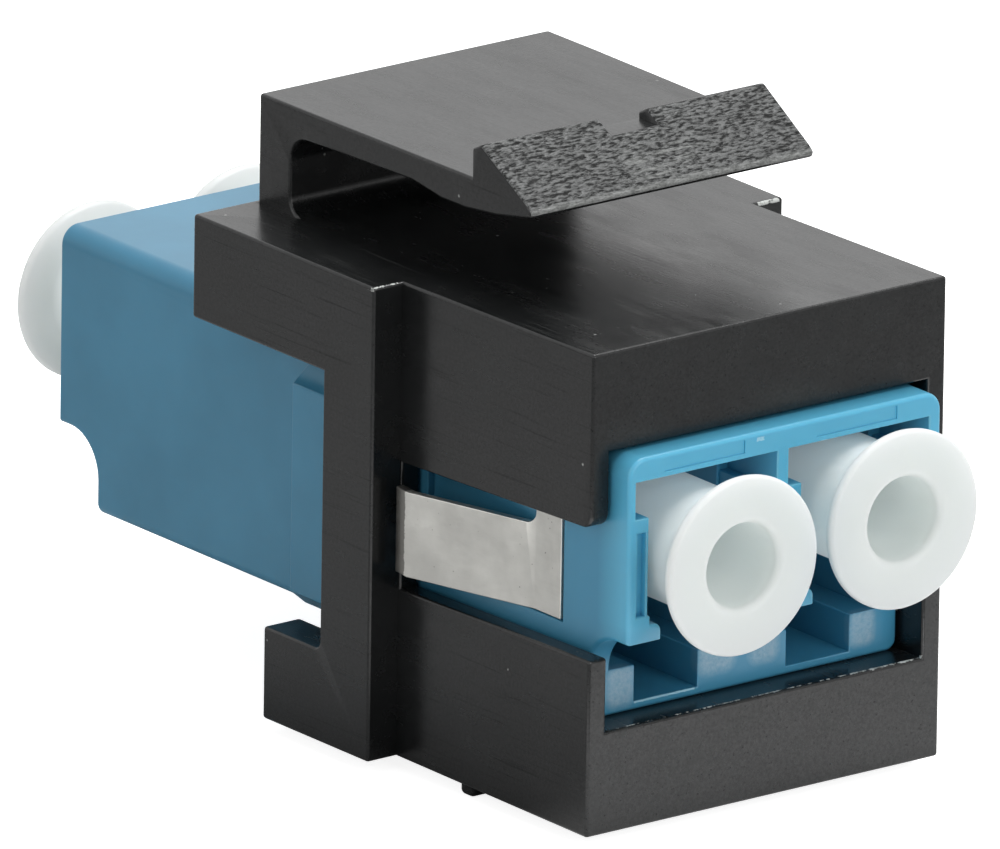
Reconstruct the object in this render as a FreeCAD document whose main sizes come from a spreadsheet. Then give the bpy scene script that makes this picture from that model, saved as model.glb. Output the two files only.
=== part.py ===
import FreeCAD, Part
import os
import Sketcher

# Duplex LC fibre adapter snapped into a black keystone panel housing.
#
# Design frame of every body: X across, +Y from the front face to the rear, +Z up, with
# Y = 0 on the housing's front face and Z = 0 at that face's lower edge. The placements
# then carry all of it to the part's origin, the middle of its base.

SIZES = (
    # Housing: front sleeve, flange, roof, hooks under the rear
    ("sleeve_width", 14.5, "outer width of the front sleeve"),
    ("sleeve_front_height", 16.4, "height of the sleeve at its front face"),
    ("sleeve_rise", 0.04, "how far the underside has risen at the flange, by draft"),
    ("roof_top", 16.23, "height of the roof and of the flange"),
    ("flange_front", 10.07, "front shoulder that meets the panel"),
    ("flange_thickness", 2.65, "flange, front to back"),
    ("flange_width", 16.84, "flange and roof, side to side"),
    ("roof_overhang", 7.02, "roof behind the flange"),
    ("skirt_height", 3.52, "depth of the roof's side skirts"),
    ("rear_corner_radius", 0.15, "upright rear corners of the roof"),
    ("hook_length", 2.98, "lower hooks behind the flange"),
    ("hook_height", 3.16, "lower hooks, bottom to top"),
    ("hook_thickness", 1.49, "lower hooks, side to side"),
    ("hook_root_radius", 0.3, "fillet between a hook and the flange"),
    ("slot_floor_front", 6.02, "side slot's lower edge at the front face"),
    ("slot_floor_rear", 5.8, "side slot's lower edge at its rear end"),
    ("slot_top_front", 10.48, "side slot's upper edge at the front face"),
    ("slot_top_rear", 10.08, "side slot's upper edge at its rear end"),
    ("slot_end_gap", 0.07, "side slot's rear end, short of the shoulder"),
    ("slot_corner_radius", 0.5, "front lower corner of the wall above the slot"),
    ("catch_position", 6.62, "middle of the fixed catch under the sleeve"),
    ("catch_width", 14.0, "fixed catch, side to side"),
    ("catch_length", 0.7, "fixed catch, front to back"),
    ("catch_drop", 0.4, "fixed catch below the underside"),
    ("catch_radius", 0.18, "rounded lower edges of the catch"),
    # Latch arm moulded on the roof
    ("latch_width", 11.9, "arm at its root"),
    ("latch_taper", 0.16, "loss of half width from root to nose"),
    ("latch_rise", 3.74, "root block and arm, from the roof to their top"),
    ("latch_root_inset", 0.25, "root block in front of the roof's rear edge"),
    ("latch_gap_end", 17.8, "closed rear end of the gap under the arm"),
    ("latch_root_thickness", 1.02, "arm at the closed end of the gap"),
    ("latch_waist", 0.9, "arm at its thinnest"),
    ("latch_waist_run", 3.1, "from there to the tab's rear wall"),
    ("latch_thickness", 1.13, "arm under the tab"),
    ("latch_root_radius", 0.9, "upper corner of the gap's closed end"),
    ("latch_gap_radius", 0.65, "lower corner of the gap's closed end"),
    ("tab_rear", 8.35, "rear wall of the catch tab"),
    ("tab_rear_height", 1.01, "rear wall of the tab above the arm"),
    ("tab_ridge_height", 1.23, "ridge of the tab above the arm"),
    ("tab_ridge_inset", 0.45, "ridge in front of the rear wall"),
    ("tab_length", 3.35, "rear wall to the nose's lower edge"),
    ("tab_nose_rise", 0.35, "nose's upper edge above its lower edge"),
    ("tab_nose_slope", 0.42, "nose's upper edge behind its lower edge"),
    ("tab_nose_drop", 0.57, "nose's lower edge below the arm's top"),
    ("tab_nose_radius", 0.16, "rounded nose"),
    ("tab_notch_width", 1.92, "notch in the middle of the ridge"),
    ("tab_notch_depth", 0.42, "notch below the ridge"),
    # Adapter block, two shells joined at the middle
    ("adapter_width", 12.8, "block, side to side"),
    ("adapter_height", 9.4, "block, bottom to top"),
    ("adapter_bottom", 3.5, "underside of the block, on the passage floor"),
    ("adapter_length", 30.4, "block, front to rear"),
    ("front_reach", 0.9, "block in front of the housing's face"),
    ("side_gap", 0.1, "passage wall to the block"),
    ("roof_gap", 0.08, "passage roof to the block"),
    ("end_step", 2.1, "lower half of each end behind its upper half"),
    ("end_step_radius", 1.5, "hollow corner under each end"),
    ("front_step_height", 3.1, "front end's step above the block's underside"),
    ("rear_step_height", 2.65, "rear end's step above the block's underside"),
    ("shell_edge_radius", 0.65, "long upper edges of the block"),
    ("shell_end_radius", 0.15, "upright edges of the block's ends"),
    ("shell_foot_radius", 0.4, "long lower edges of the block"),
    ("rib_reach", 0.65, "stop ribs beyond the block's sides"),
    ("rib_height", 8.2, "stop ribs, bottom to top"),
    ("rib_chamfer", 0.55, "slanted top and bottom of the ribs"),
    ("rib_length", 3.33, "stop ribs, front to back"),
    ("rib_gap", 0.05, "stop ribs behind the flange"),
    # Ports in each end
    ("port_pitch", 6.25, "distance between the two optical axes"),
    ("port_height", 9.55, "height of the optical axes"),
    ("port_size", 4.7, "square opening for a connector"),
    ("web_thickness", 1.2, "each shell's wall at the joint"),
    ("frame_depth", 2.6, "depth of the stepped frame round the ports"),
    ("frame_top_wall", 0.8, "wall above the ports"),
    ("recess_left", 2.99, "axis to the upper recess's left wall, seen from outside"),
    ("recess_right", 2.78, "axis to the upper recess's right wall, seen from outside"),
    ("lip_gap", 4.9, "lower recess between the frame's lips"),
    ("gate_mark_width", 3.3, "shallow mark above each port"),
    ("gate_mark_height", 0.45, "that mark, bottom to top"),
    ("gate_mark_rise", 0.18, "that mark above the recess"),
    ("gate_mark_depth", 0.05, "depth of that mark"),
    ("recess_split", 10.85, "height where the recess narrows"),
    ("feet_top", 7.5, "top of the inward feet"),
    ("guide_width", 3.8, "gap between the feet, where a latch slides"),
    ("guide_depth", 12.0, "depth of that gap from the end"),
    ("shoulder_height", 1.56, "shoulders beside each slot above the underside"),
    ("latch_slot_width", 2.6, "slot in the lower face below each port"),
    ("latch_slot_floor", 0.3, "wall below that slot"),
    ("latch_slot_depth", 7.5, "depth of that slot from the lower face"),
    ("key_radius", 0.45, "rounded notch in the block between the slots"),
    ("key_depth", 1.4, "depth of that notch"),
    ("lip_recess_width", 0.36, "upright recess in the frame's side lip"),
    ("lip_recess_depth", 0.25, "depth of that recess"),
    ("lip_recess_drop", 0.5, "that recess below the split"),
    ("foot_radius", 0.3, "rounded ends of the feet"),
    # Alignment: nose tubes and split sleeves
    ("nose_radius", 1.4, "outside of each nose tube"),
    ("nose_reach", 3.95, "nose tube's tip from the joint"),
    ("nose_lip", 0.5, "lip that keeps the sleeve in"),
    ("nose_lip_radius", 0.74, "narrowest mouth in that lip"),
    ("nose_lead_angle", 25, "flare of that mouth towards the tip, in degrees"),
    ("ferrule_radius", 0.625, "bore of the split sleeve"),
    ("alignment_wall", 0.185, "wall of the split sleeve"),
    ("alignment_length", 6.8, "length of the split sleeve"),
    ("alignment_slit", 0.3, "slit along the sleeve"),
    ("alignment_gap", 0.03, "sleeve to its housing, all round"),
    # Retaining clip
    ("steel", 0.3, "thickness of the clip's strip"),
    ("clip_front", 2.56, "front edge of the band"),
    ("clip_length", 1.34, "band, front to back"),
    ("clip_groove", 0.27, "depth of the groove round the block"),
    ("clip_gap", 0.02, "band to the groove's floor"),
    ("clip_edge_gap", 0.06, "band to the groove's ends"),
    ("clip_bend_radius", 0.45, "inner radius of the band's corners"),
    ("clip_foot", 6.6, "lower end of band and tongues"),
    ("tongue_height", 2.9, "tongues, bottom to top"),
    ("tongue_length", 5.0, "slanted run of a tongue"),
    ("tongue_spread", 1.4, "how far a tongue leans out"),
    ("tongue_lip", 0.72, "lip at the tongue's end"),
    ("tongue_lip_turn", 0.11, "how far that lip turns back in"),
    ("tongue_root_radius", 0.4, "corner between band and tongue"),
    # Dust plugs
    ("plug_disc_radius", 3.03, "rim of a dust plug"),
    ("plug_disc_thickness", 0.32, "thickness of that rim"),
    ("plug_flare", 0.75, "slope behind the rim, down to the barrel"),
    ("plug_rim_chamfer", 0.12, "broken edges of the rim"),
    ("plug_barrel_radius", 2.08, "barrel in the port"),
    ("plug_length", 14.0, "plug, end to end"),
    ("plug_hole_radius", 1.53, "hole in the outer face"),
    ("plug_hole_depth", 5.5, "depth of that hole"),
    ("plug_mouth_chamfer", 0.25, "broken edge of that hole"),
    ("plug_socket_radius", 1.8, "inner bore over the nose tube"),
    ("plug_web", 1.2, "wall between hole and inner bore"),
    ("plug_tip_chamfer", 0.2, "inner end of the barrel"),
    ("front_plug_reach", 2.1, "front plugs' faces beyond the block's end"),
    ("rear_plug_reach", 2.7, "rear plugs' faces beyond the block's end"),
    ("plug_splay", 0.17, "front plugs off the optical axes, outwards"),
    ("left_plug_sag", 0.24, "front left plug below its axis"),
    ("right_plug_lift", 0.08, "front right plug above its axis"),
    ("rear_plug_sag", 0.12, "rear left plug below its axis"),
)

doc = FreeCAD.newDocument("lc_keystone_adapter")
sheet = doc.addObject("Spreadsheet::Sheet", "Sizes")
for row, (alias, number, meaning) in enumerate(SIZES, 1):
    sheet.set(f"A{row}", meaning)
    sheet.set(f"B{row}", str(number))
    sheet.setAlias(f"B{row}", alias)
doc.recompute()


class Size:
    """A length that carries both its value and the sheet formula behind it."""

    def __init__(self, value, formula):
        self.value = float(value)
        self.formula = formula

    @staticmethod
    def of(thing):
        if isinstance(thing, Size):
            return thing
        return Size(thing, f"({thing})")

    def __add__(self, other):
        other = Size.of(other)
        return Size(self.value + other.value, f"({self.formula} + {other.formula})")

    def __sub__(self, other):
        other = Size.of(other)
        return Size(self.value - other.value, f"({self.formula} - {other.formula})")

    def __mul__(self, factor):
        return Size(self.value * factor, f"({self.formula} * {factor})")

    def __truediv__(self, factor):
        return Size(self.value / factor, f"({self.formula} / {factor})")

    def __neg__(self):
        return self * -1

    def __radd__(self, other):
        return Size.of(other) + self

    def __rsub__(self, other):
        return Size.of(other) - self

    def __rmul__(self, factor):
        return self * factor


class Sheet:
    """Attribute access to the spreadsheet: size.roof_top and so on."""

    def __getattr__(self, alias):
        return Size(getattr(sheet, alias), f"Sizes.{alias}")


size = Sheet()

# Places that several pieces share
FLANGE_REAR = size.flange_front + size.flange_thickness
ROOF_REAR = FLANGE_REAR + size.roof_overhang
SKIRT_BOTTOM = size.roof_top - size.skirt_height
LATCH_TOP = size.roof_top + size.latch_rise
ADAPTER_TOP = size.adapter_bottom + size.adapter_height
ADAPTER_FRONT = -size.front_reach
ADAPTER_REAR = size.adapter_length - size.front_reach
JOINT = size.adapter_length / 2 - size.front_reach
PASSAGE_HALF = size.adapter_width / 2 + size.side_gap
PORT_OFFSET = size.port_pitch / 2
BAND_INNER = size.adapter_width / 2 - size.clip_groove + size.clip_gap
BAND_OUTER = BAND_INNER + size.steel
BAND_ROOF = ADAPTER_TOP - size.clip_groove + size.clip_gap
FRONT_FACE = ADAPTER_FRONT - size.front_plug_reach
REAR_FACE = ADAPTER_REAR + size.rear_plug_reach

# The part's origin is the middle of its bounding box, on its base
ORIGIN_Y = (FRONT_FACE + REAR_FACE) / 2
ORIGIN_Z = -size.catch_drop

bodies = []


def new_body(name, x=0.0, y=0.0, z=0.0):
    """An empty body whose own origin lies at x, y, z of the design frame."""
    body = doc.addObject("PartDesign::Body", name)
    body.Label = name
    place = {"x": Size.of(x), "y": Size.of(y) - ORIGIN_Y, "z": Size.of(z) - ORIGIN_Z}
    for axis, shift in place.items():
        body.setExpression(f"Placement.Base.{axis}", shift.formula)
    bodies.append(body)
    return body


def bind(sketch, kind, geometry, point, target):
    """Hold one coordinate of a sketch point to the sheet."""
    index = sketch.addConstraint(Sketcher.Constraint(kind, -1, 1, geometry, point, target.value))
    sketch.setExpression(f"Constraints[{index}]", target.formula)


def draw(body, name, role, outlines=(), circles=(), offset=0.0):
    """A sketch on one of the body's own planes, every point and radius bound to the sheet.

    Outlines are closed rings of (u, v) corners and circles are (u, v, radius). The sketch
    lies `offset` along its plane's normal: +X for YZ_Plane, -Y for XZ_Plane, +Z for XY_Plane.
    """
    sketch = body.newObject("Sketcher::SketchObject", name)
    plane = [item for item in body.Origin.OriginFeatures if item.Role == role][0]
    sketch.AttachmentSupport = [(plane, "")]
    sketch.MapMode = "FlatFace"
    sketch.setExpression("AttachmentOffset.Base.z", Size.of(offset).formula)
    for outline in outlines:
        corners = [(Size.of(u), Size.of(v)) for u, v in outline]
        points = [FreeCAD.Vector(u.value, v.value, 0) for u, v in corners]
        count = len(points)
        first = sketch.GeometryCount
        for index in range(count):
            line = Part.LineSegment(points[index], points[(index + 1) % count])
            sketch.addGeometry(line, False)
        for index, (u, v) in enumerate(corners):
            following = first + (index + 1) % count
            join = Sketcher.Constraint("Coincident", first + index, 2, following, 1)
            sketch.addConstraint(join)
            bind(sketch, "DistanceX", first + index, 1, u)
            bind(sketch, "DistanceY", first + index, 1, v)
    for u, v, radius in circles:
        u, v, radius = Size.of(u), Size.of(v), Size.of(radius)
        centre = FreeCAD.Vector(u.value, v.value, 0)
        ring = sketch.addGeometry(Part.Circle(centre, FreeCAD.Vector(0, 0, 1), radius.value), False)
        index = sketch.addConstraint(Sketcher.Constraint("Radius", ring, radius.value))
        sketch.setExpression(f"Constraints[{index}]", radius.formula)
        bind(sketch, "DistanceX", ring, 3, u)
        bind(sketch, "DistanceY", ring, 3, v)
    return sketch


def box(left, right, low, high):
    """The four corners of a rectangle."""
    return ((left, low), (right, low), (right, high), (left, high))


def both_sides(inner, outer, low, high):
    """The same rectangle on the right and, mirrored, on the left."""
    return (box(inner, outer, low, high), box(-1 * outer, -1 * inner, low, high))


def extrude(kind, body, sketch, length, both=False, backwards=False):
    """A pad or pocket of the sketch, checked to have changed the body's volume."""
    before = body.Tip.Shape.Volume if body.Tip else 0.0
    feature = body.newObject(f"PartDesign::{kind}", sketch.Name.replace("Sketch", ""))
    feature.Profile = sketch
    feature.SideType = "Symmetric" if both else "One side"
    feature.Reversed = backwards
    feature.setExpression("Length", Size.of(length).formula)
    sketch.Visibility = False
    doc.recompute()
    change = feature.Shape.Volume - before
    if (change <= 0.0) == (kind == "Pad"):
        raise RuntimeError(f"{feature.Name} of {body.Label} changed nothing")
    return feature


def pad(body, sketch, length, both=False, backwards=False):
    return extrude("Pad", body, sketch, length, both, backwards)


def pocket(body, sketch, length, both=False, backwards=False):
    return extrude("Pocket", body, sketch, length, both, backwards)


def edges_at(shape, x=None, y=None, z=None, radius=None):
    """Names of the edges that lie wholly at the given |x|, y and z, or circles of a radius."""
    names = []
    for number, edge in enumerate(shape.Edges, 1):
        if radius is not None:
            if not isinstance(edge.Curve, Part.Circle):
                continue
            if abs(edge.Curve.Radius - Size.of(radius).value) > 0.004:
                continue
        low, high = edge.FirstParameter, edge.LastParameter
        points = [edge.valueAt(low), edge.valueAt((low + high) / 2), edge.valueAt(high)]
        fits = True
        for point in points:
            for found, wanted in ((abs(point.x), x), (point.y, y), (point.z, z)):
                if wanted is not None and abs(found - Size.of(wanted).value) > 0.004:
                    fits = False
        if fits:
            names.append(f"Edge{number}")
    return names


def dress(kind, body, name, amount, *places):
    """A fillet or chamfer of the edges found at the given places."""
    doc.recompute()
    base = body.Tip
    names = []
    for place in places:
        found = edges_at(base.Shape, **place)
        if not found:
            raise RuntimeError(f"{name} of {body.Label} found no edge")
        names += [edge for edge in found if edge not in names]
    feature = body.newObject(f"PartDesign::{kind}", name)
    feature.Base = (base, names)
    feature.setExpression("Radius" if kind == "Fillet" else "Size", Size.of(amount).formula)
    doc.recompute()
    if feature.Shape.isNull() or "Invalid" in feature.State:
        raise RuntimeError(f"{name} of {body.Label} failed")
    return feature


def fillet(body, name, radius, *places):
    return dress("Fillet", body, name, radius, *places)


def chamfer(body, name, amount, *places):
    return dress("Chamfer", body, name, amount, *places)


def build_housing():
    """The keystone housing: one moulding with its catch and its spring latch."""
    body = new_body("keystone_housing")
    side_view = (
        (0.0, 0.0),
        (size.flange_front, size.sleeve_rise),
        (size.flange_front, size.roof_top),
        (0.0, size.sleeve_front_height),
    )
    pad(body, draw(body, "SleeveSketch", "YZ_Plane", [side_view]), size.sleeve_width, both=True)
    flange_view = (
        (size.flange_front, size.sleeve_rise),
        (FLANGE_REAR, size.sleeve_rise),
        (FLANGE_REAR, SKIRT_BOTTOM),
        (ROOF_REAR, SKIRT_BOTTOM),
        (ROOF_REAR, size.roof_top),
        (size.flange_front, size.roof_top),
    )
    pad(body, draw(body, "FlangeSketch", "YZ_Plane", [flange_view]), size.flange_width, both=True)

    # Hooks under the rear, one each side
    flange_half = size.flange_width / 2
    hook_top = size.sleeve_rise + size.hook_height
    hooks = both_sides(flange_half - size.hook_thickness, flange_half, size.sleeve_rise, hook_top)
    hook_sketch = draw(body, "HookSketch", "XZ_Plane", hooks, offset=-FLANGE_REAR)
    pad(body, hook_sketch, size.hook_length, backwards=True)
    fillet(body, "HookRoot", size.hook_root_radius, {"y": FLANGE_REAR, "z": hook_top})
    fillet(body, "RearCorners", size.rear_corner_radius, {"x": flange_half, "y": ROOF_REAR})

    # Passage for the adapter block, right through
    passage = box(-PASSAGE_HALF, PASSAGE_HALF, size.adapter_bottom, ADAPTER_TOP + size.roof_gap)
    pocket(body, draw(body, "PassageSketch", "XZ_Plane", [passage]), ROOF_REAR)

    # Side slots that let the clip's tongues out
    slot_end = size.flange_front - size.slot_end_gap
    slot = (
        (0.0, size.slot_floor_front),
        (slot_end, size.slot_floor_rear),
        (slot_end, size.slot_top_rear),
        (0.0, size.slot_top_front),
    )
    pocket(body, draw(body, "SlotSketch", "YZ_Plane", [slot]), size.sleeve_width, both=True)
    fillet(body, "SlotCorner", size.slot_corner_radius, {"y": 0.0, "z": size.slot_top_front})

    # Fixed catch across the underside
    half_catch = size.catch_length / 2
    root = size.sleeve_rise + size.catch_radius
    catch = (
        (size.catch_position - half_catch, -size.catch_drop),
        (size.catch_position + half_catch, -size.catch_drop),
        (size.catch_position + half_catch, root),
        (size.catch_position - half_catch, root),
    )
    pad(body, draw(body, "CatchSketch", "YZ_Plane", [catch]), size.catch_width, both=True)
    fillet(
        body, "CatchEdges", size.catch_radius,
        {"y": size.catch_position - half_catch, "z": -size.catch_drop},
        {"y": size.catch_position + half_catch, "z": -size.catch_drop},
    )

    build_latch(body)
    return body


def build_latch(body):
    """The latch: a root block on the roof, a long arm forwards and a sloped catch tab."""
    root_rear = ROOF_REAR - size.latch_root_inset
    under_root = LATCH_TOP - size.latch_root_thickness
    under_waist = LATCH_TOP - size.latch_waist
    under_arm = LATCH_TOP - size.latch_thickness
    nose = size.tab_rear - size.tab_length
    nose_low = LATCH_TOP - size.tab_nose_drop
    waist = size.tab_rear + size.latch_waist_run
    profile = (
        (root_rear, size.roof_top - size.roof_gap),
        (root_rear, LATCH_TOP),
        (size.tab_rear, LATCH_TOP),
        (size.tab_rear, LATCH_TOP + size.tab_rear_height),
        (size.tab_rear - size.tab_ridge_inset, LATCH_TOP + size.tab_ridge_height),
        (nose + size.tab_nose_slope, nose_low + size.tab_nose_rise),
        (nose, nose_low),
        (nose + size.tab_length * 0.6, under_arm + (nose_low - under_arm) * 0.3),
        (size.tab_rear + size.latch_waist_run / 10, under_arm),
        (size.tab_rear + size.latch_waist_run / 2, under_arm),
        (waist, under_waist),
        (size.latch_gap_end, under_root),
        (size.latch_gap_end, size.roof_top - size.roof_gap),
    )
    pad(body, draw(body, "LatchSketch", "YZ_Plane", [profile]), size.latch_width, both=True)
    fillet(body, "LatchGap", size.latch_gap_radius, {"y": size.latch_gap_end, "z": size.roof_top})

    # The arm narrows a little towards its nose
    root_half = size.latch_width / 2
    beyond = root_half + size.latch_taper
    taper_start = size.latch_gap_end - size.latch_root_radius
    right = (
        (root_half, taper_start),
        (beyond, taper_start),
        (beyond, nose),
        (root_half - size.latch_taper, nose),
    )
    left = tuple((-1 * x, y) for x, y in right)
    below_arm = LATCH_TOP - 2 * size.latch_thickness
    taper = draw(body, "TaperSketch", "XY_Plane", [right, left], offset=below_arm)
    pocket(body, taper, LATCH_TOP, backwards=True)

    # Notch in the middle of the tab's ridge
    ridge = LATCH_TOP + size.tab_ridge_height
    half_notch = size.tab_notch_width / 2
    notch = box(-half_notch, half_notch, ridge - size.tab_notch_depth, ridge + size.tab_notch_depth)
    notch_sketch = draw(body, "NotchSketch", "XZ_Plane", [notch], offset=-nose)
    pocket(body, notch_sketch, size.tab_length)

    fillet(body, "LatchRoot", size.latch_root_radius, {"y": size.latch_gap_end, "z": under_root})
    fillet(
        body, "LatchNose", size.tab_nose_radius,
        {"y": nose, "z": nose_low},
        {"y": nose + size.tab_nose_slope, "z": nose_low + size.tab_nose_rise},
    )


def build_shell(name, end):
    """One half of the adapter block: end is -1 for the front half and +1 for the rear."""
    body = new_body(name)
    half = size.adapter_length / 2
    step = size.front_step_height if end < 0 else size.rear_step_height
    backwards = end > 0

    def station(distance):
        """Y at a distance outwards from the joint between the halves."""
        return JOINT + end * Size.of(distance)

    def level(distance):
        """Offset of a sketch on the XZ plane, whose normal is -Y."""
        return -1 * station(distance)

    outer, lower = station(half), station(half - size.end_step)
    side = size.adapter_width / 2
    ledge = size.adapter_bottom + step
    block = (
        (JOINT, size.adapter_bottom),
        (lower, size.adapter_bottom),
        (lower, ledge),
        (outer, ledge),
        (outer, ADAPTER_TOP),
        (JOINT, ADAPTER_TOP),
    )
    pad(body, draw(body, "BlockSketch", "YZ_Plane", [block]), size.adapter_width, both=True)

    fillet(body, "StepHollow", size.end_step_radius, {"y": lower, "z": ledge})
    fillet(body, "LongEdges", size.shell_edge_radius, {"x": side, "z": ADAPTER_TOP})
    fillet(body, "FootEdges", size.shell_foot_radius, {"x": side, "z": size.adapter_bottom})
    fillet(body, "EndEdges", size.shell_end_radius, {"x": side, "y": outer}, {"x": side, "y": lower})

    # Stop ribs on the sides, butting on the flange from behind
    rib_front = FLANGE_REAR + size.rib_gap
    rib_rear = rib_front + size.rib_length
    rib_start, rib_end = (rib_front, JOINT) if end < 0 else (JOINT, rib_rear)
    rib_top = size.adapter_bottom + size.rib_height
    beyond = side + size.rib_reach
    right = (
        (side - size.rib_reach, size.adapter_bottom),
        (side, size.adapter_bottom),
        (beyond, size.adapter_bottom + size.rib_chamfer),
        (beyond, rib_top - size.rib_chamfer),
        (side, rib_top),
        (side - size.rib_reach, rib_top),
    )
    left = tuple((-1 * x, z) for x, z in right)
    ribs = draw(body, "RibSketch", "XZ_Plane", [right, left], offset=-rib_start)
    pad(body, ribs, rib_end - rib_start, backwards=True)


    # Stepped frame round the two ports
    axes = (-1 * PORT_OFFSET, PORT_OFFSET)
    nearer, farther = (
        (size.recess_left, size.recess_right) if end < 0 else (size.recess_right, size.recess_left)
    )
    recess_top = ADAPTER_TOP - size.frame_top_wall
    wide = [box(x - nearer, x + farther, size.recess_split, recess_top) for x in axes]
    pocket(
        body, draw(body, "UpperRecessSketch", "XZ_Plane", wide, offset=level(half)),
        size.frame_depth, backwards=backwards,
    )
    half_gap = size.lip_gap / 2
    narrow = both_sides(
        PORT_OFFSET - half_gap, PORT_OFFSET + half_gap, size.feet_top, size.recess_split,
    )
    pocket(
        body, draw(body, "LowerRecessSketch", "XZ_Plane", narrow, offset=level(half)),
        size.frame_depth, backwards=backwards,
    )

    # The ports, and the guides below them for a connector's latch
    half_port = size.port_size / 2
    ports = both_sides(
        PORT_OFFSET - half_port, PORT_OFFSET + half_port,
        size.port_height - half_port, size.port_height + half_port,
    )
    pocket(
        body, draw(body, "PortSketch", "XZ_Plane", ports, offset=level(half)),
        half - size.web_thickness, backwards=backwards,
    )
    half_guide = size.guide_width / 2
    shoulder = size.adapter_bottom + size.shoulder_height
    guides = both_sides(PORT_OFFSET - half_guide, PORT_OFFSET + half_guide, shoulder, size.feet_top)
    pocket(
        body, draw(body, "GuideSketch", "XZ_Plane", guides, offset=level(half)),
        size.guide_depth, backwards=backwards,
    )
    undercuts = both_sides(PORT_OFFSET - half_port, PORT_OFFSET + half_port, shoulder, ledge)
    pocket(
        body, draw(body, "UndercutSketch", "XZ_Plane", undercuts, offset=level(half)),
        size.guide_depth, backwards=backwards,
    )
    half_slot = size.latch_slot_width / 2
    slots = both_sides(
        PORT_OFFSET - half_slot, PORT_OFFSET + half_slot,
        size.adapter_bottom + size.latch_slot_floor, size.feet_top,
    )
    pocket(
        body, draw(body, "LatchSlotSketch", "XZ_Plane", slots, offset=level(half - size.end_step)),
        size.latch_slot_depth, backwards=backwards,
    )

    # Rounded notch in the lower block, and upright recesses in the frame's lips
    key = draw(
        body, "KeySketch", "XZ_Plane",
        circles=[(0.0, shoulder, size.key_radius)],
        offset=level(half - size.end_step),
    )
    pocket(body, key, size.key_depth, backwards=backwards)
    lip = PORT_OFFSET + half_gap + size.foot_radius / 3
    lips = both_sides(
        lip, lip + size.lip_recess_width, size.feet_top, size.recess_split - size.lip_recess_drop,
    )
    pocket(
        body, draw(body, "LipSketch", "XZ_Plane", lips, offset=level(half)),
        size.lip_recess_depth, backwards=backwards,
    )
    fillet(
        body, "FeetEnds", size.foot_radius,
        {"x": PORT_OFFSET + half_guide, "z": size.port_height - half_port},
        {"x": PORT_OFFSET - half_guide, "z": size.port_height - half_port},
    )

    # Shallow gate marks on the frame, above the ports
    mark = recess_top + size.gate_mark_rise
    middle = (size.recess_left - size.recess_right) * end
    half_mark = size.gate_mark_width / 2
    marks = [
        box(x + middle - half_mark, x + middle + half_mark, mark, mark + size.gate_mark_height)
        for x in axes
    ]
    pocket(
        body, draw(body, "GateMarkSketch", "XZ_Plane", marks, offset=level(half)),
        size.gate_mark_depth, backwards=backwards,
    )

    # Nose tubes that hold the alignment sleeves
    noses = [(x, size.port_height, size.nose_radius) for x in axes]
    pad(
        body, draw(body, "NoseSketch", "XZ_Plane", circles=noses, offset=level(size.web_thickness)),
        size.nose_reach - size.web_thickness, backwards=backwards,
    )
    seat_radius = size.ferrule_radius + size.alignment_wall + size.alignment_gap
    seats = [(x, size.port_height, seat_radius) for x in axes]
    pocket(
        body, draw(body, "SeatSketch", "XZ_Plane", circles=seats, offset=level(0.0)),
        size.nose_reach - size.nose_lip, backwards=not backwards,
    )
    mouths = [(x, size.port_height, size.nose_lip_radius) for x in axes]
    lip = level(size.nose_reach - size.nose_lip)
    mouth = pocket(
        body, draw(body, "MouthSketch", "XZ_Plane", circles=mouths, offset=lip),
        size.nose_lip, backwards=not backwards,
    )
    mouth.setExpression("TaperAngle", size.nose_lead_angle.formula)
    doc.recompute()

    if end < 0:
        cut_clip_groove(body, side)
    return body


def cut_clip_groove(body, side):
    """The shallow groove over the front half's top and sides, where the clip's band lies."""
    floor_side = side - size.clip_groove
    floor_top = ADAPTER_TOP - size.clip_groove
    low = size.clip_foot - size.clip_edge_gap
    staple = (
        (floor_side, low),
        (side + size.clip_groove, low),
        (side + size.clip_groove, ADAPTER_TOP + size.clip_groove),
        (-side - size.clip_groove, ADAPTER_TOP + size.clip_groove),
        (-side - size.clip_groove, low),
        (-floor_side, low),
        (-floor_side, floor_top),
        (floor_side, floor_top),
    )
    front = size.clip_front - size.clip_edge_gap
    groove = draw(body, "GrooveSketch", "XZ_Plane", [staple], offset=-front)
    band_run = size.clip_length + 2 * size.clip_edge_gap
    pocket(body, groove, band_run)

    # The groove runs on behind the band, so that a tongue can be pressed in flush
    high = size.clip_foot + size.tongue_height + size.tongue_root_radius
    beds = both_sides(floor_side, side + size.clip_groove, low, high)
    bed_sketch = draw(body, "TongueBedSketch", "XZ_Plane", beds, offset=-front)
    pocket(body, bed_sketch, band_run + size.tongue_length + size.tongue_lip)
    corner_radius = size.clip_bend_radius - size.clip_gap
    fillet(body, "GrooveCorners", corner_radius, {"x": floor_side, "z": floor_top})


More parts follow.
